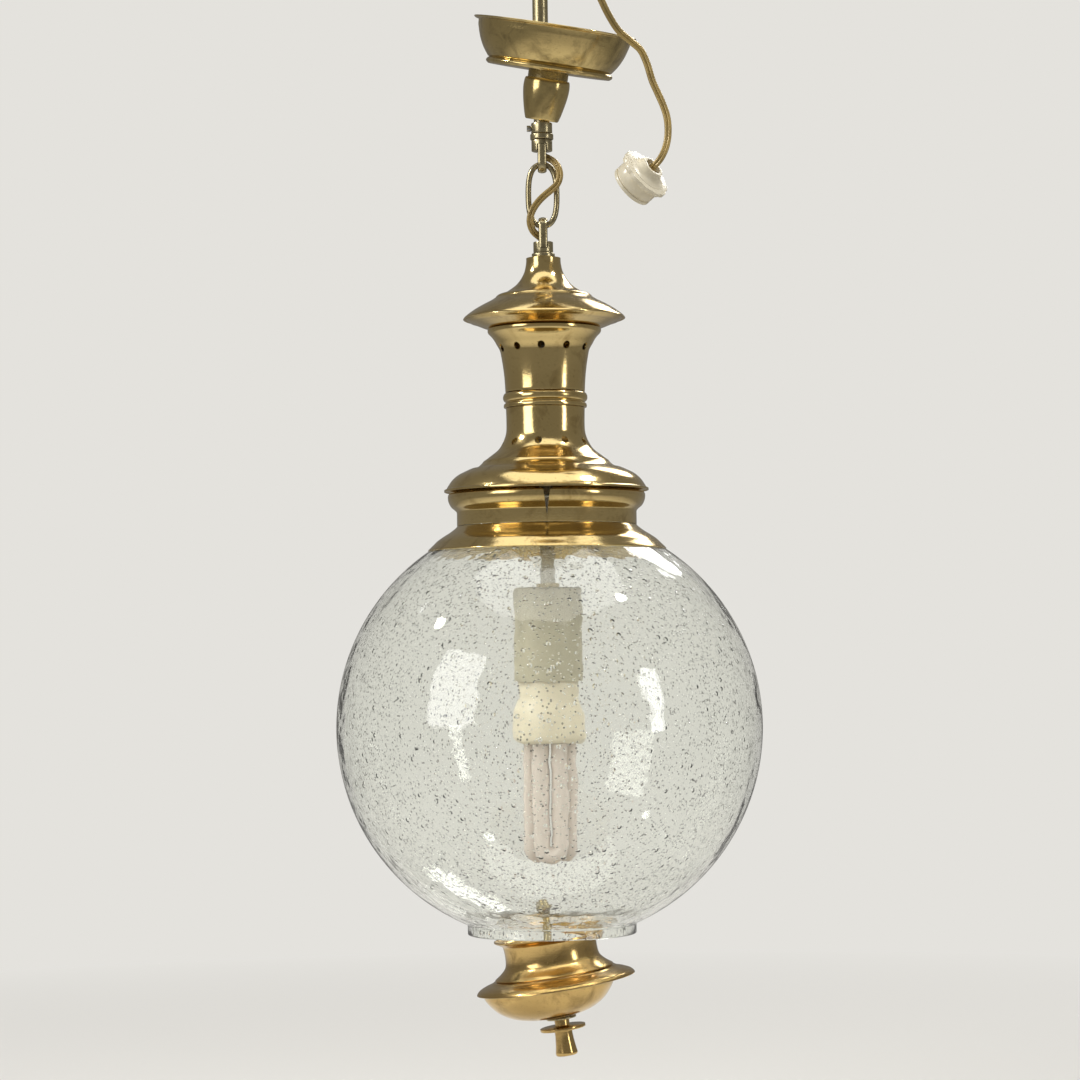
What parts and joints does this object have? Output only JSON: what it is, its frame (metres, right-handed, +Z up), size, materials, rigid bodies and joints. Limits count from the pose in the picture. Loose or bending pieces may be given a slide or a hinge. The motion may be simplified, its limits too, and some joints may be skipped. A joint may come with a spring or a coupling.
{
  "type": "ceiling lamp",
  "caption": "Pendant ceiling lamp: spun brass lantern top with chimney vents, round seeded glass globe, bulb inside, brass finial below, on a chain link and stem with canopy, flex and plug.",
  "frame": {"origin": "point inside the top eye where the ceiling hook bears, on the lamp's vertical axis", "axes": "+Z up along the stem, +X to the viewer's right, +Y away from the viewer"},
  "size_m": [0.3, 0.3, 0.7992],
  "materials": {
    "dull_brass": "dull aged brass, greyish",
    "aged_brass": "spun brass, polished and aged, with stains",
    "warm_brass": "warm polished brass, aged",
    "steel": "dull steel",
    "nickel": "nickel plated, dull",
    "seeded_glass": "clear blown glass full of fine bubbles",
    "gold_flex": "translucent gold-brown flex",
    "cream_plastic": "cream plastic",
    "pale_sleeve": "pale grey-beige plastic",
    "porcelain": "white porcelain",
    "frosted_tube": "white phosphor-coated glass"
  },
  "bodies": {
    "stem": {"stem_tube": "dull_brass", "top_eye": "dull_brass", "top_ferrule": "dull_brass", "top_lock_ring": "dull_brass", "stem_lock_ring": "dull_brass", "stem_ferrule": "dull_brass", "stem_eye": "dull_brass", "stem_flex": "gold_flex", "free_flex": "gold_flex", "plug_cap": "cream_plastic", "plug_body": "cream_plastic", "plug_pin_1": "nickel", "plug_pin_2": "nickel"},
    "collar": {"stop_collar": "aged_brass"},
    "set_screw": {"set_screw": "steel"},
    "canopy": {"canopy_cup": "aged_brass", "canopy_dish": "aged_brass", "canopy_bush": "dull_brass", "canopy_ring_nut": "dull_brass"},
    "chain_link": {"chain_link": "dull_brass", "link_flex": "gold_flex"},
    "lantern": {"lamp_eye": "dull_brass", "lamp_ferrule": "dull_brass", "lamp_lock_ring": "dull_brass", "hood": "aged_brass", "hood_soffit": "aged_brass", "hood_nut": "dull_brass", "upper_chimney": "aged_brass", "waist_bead": "aged_brass", "lower_chimney": "aged_brass", "split_collar": "aged_brass", "skirt_ring": "aged_brass", "bridge": "steel", "bridge_nut": "dull_brass", "centre_tube": "nickel", "lantern_flex": "gold_flex", "holder_nut": "dull_brass", "holder_sleeve": "pale_sleeve", "holder_core": "porcelain", "centre_contact": "dull_brass", "globe": "seeded_glass", "cross_bar": "steel"},
    "bulb": {"bulb_screw_shell": "nickel", "bulb_tip_contact": "dull_brass", "ballast_housing": "cream_plastic", "u_tube_1": "frosted_tube", "u_tube_2": "frosted_tube", "u_tube_3": "frosted_tube"},
    "ball_nut": {"ball_nut": "dull_brass"},
    "finial": {"finial_neck": "warm_brass", "finial_rim": "warm_brass", "dome_washer": "dull_brass"},
    "dome": {"finial_dome": "warm_brass"},
    "knob": {"knob": "warm_brass", "closure_rod": "dull_brass"}
  },
  "joints": [
    {"name": "collar_slide", "type": "slide", "parent": "stem", "child": "collar", "axis": [0, 0, 1], "range_m": [0, 0.045]},
    {"name": "set_screw_turn", "type": "hinge", "parent": "collar", "child": "set_screw", "pos_m": [-0.0078, 0, -0.13345], "axis": [-1, 0, 0], "range_deg": [0, 720]},
    {"name": "canopy_tilt", "type": "hinge", "parent": "collar", "child": "canopy", "pos_m": [0, 0, -0.12759], "axis": [0.7313, 0.6821, 0], "range_deg": [-18, 0]},
    {"name": "link_swing", "type": "hinge", "parent": "stem", "child": "chain_link", "pos_m": [0, 0, -0.15915], "axis": [1, 0, 0], "range_deg": [-35, 35], "deforming": ["link_flex"]},
    {"name": "lantern_sway", "type": "hinge", "parent": "chain_link", "child": "lantern", "pos_m": [0, 0, -0.1983], "axis": [0, 1, 0], "range_deg": [-18, 18], "deforming": ["link_flex"]},
    {"name": "bulb_turn", "type": "hinge", "parent": "lantern", "child": "bulb", "pos_m": [0, 0, -0.517], "axis": [0, 0, 1], "range_deg": [0, 1080]},
    {"name": "finial_tilt", "type": "hinge", "parent": "lantern", "child": "ball_nut", "pos_m": [-0.0055, 0, -0.68375], "axis": [0, 1, 0], "range_deg": [0, 16.2]},
    {"name": "finial_lift", "type": "slide", "parent": "ball_nut", "child": "finial", "axis": [-0.1409, 0, 0.99], "range_m": [0, 0.006]},
    {"name": "dome_shift", "type": "slide", "parent": "finial", "child": "dome", "axis": [0.99, 0, 0.1409], "range_m": [0, 0.0108]},
    {"name": "knob_turn", "type": "hinge", "parent": "finial", "child": "knob", "pos_m": [-0.0055, 0, -0.68375], "axis": [-0.1409, 0, 0.99], "range_deg": [0, 1440]}
  ],
  "couplings": [
    {"joint": "knob_turn", "follows": "finial_lift", "rad_per_m": 4188.8}
  ]
}
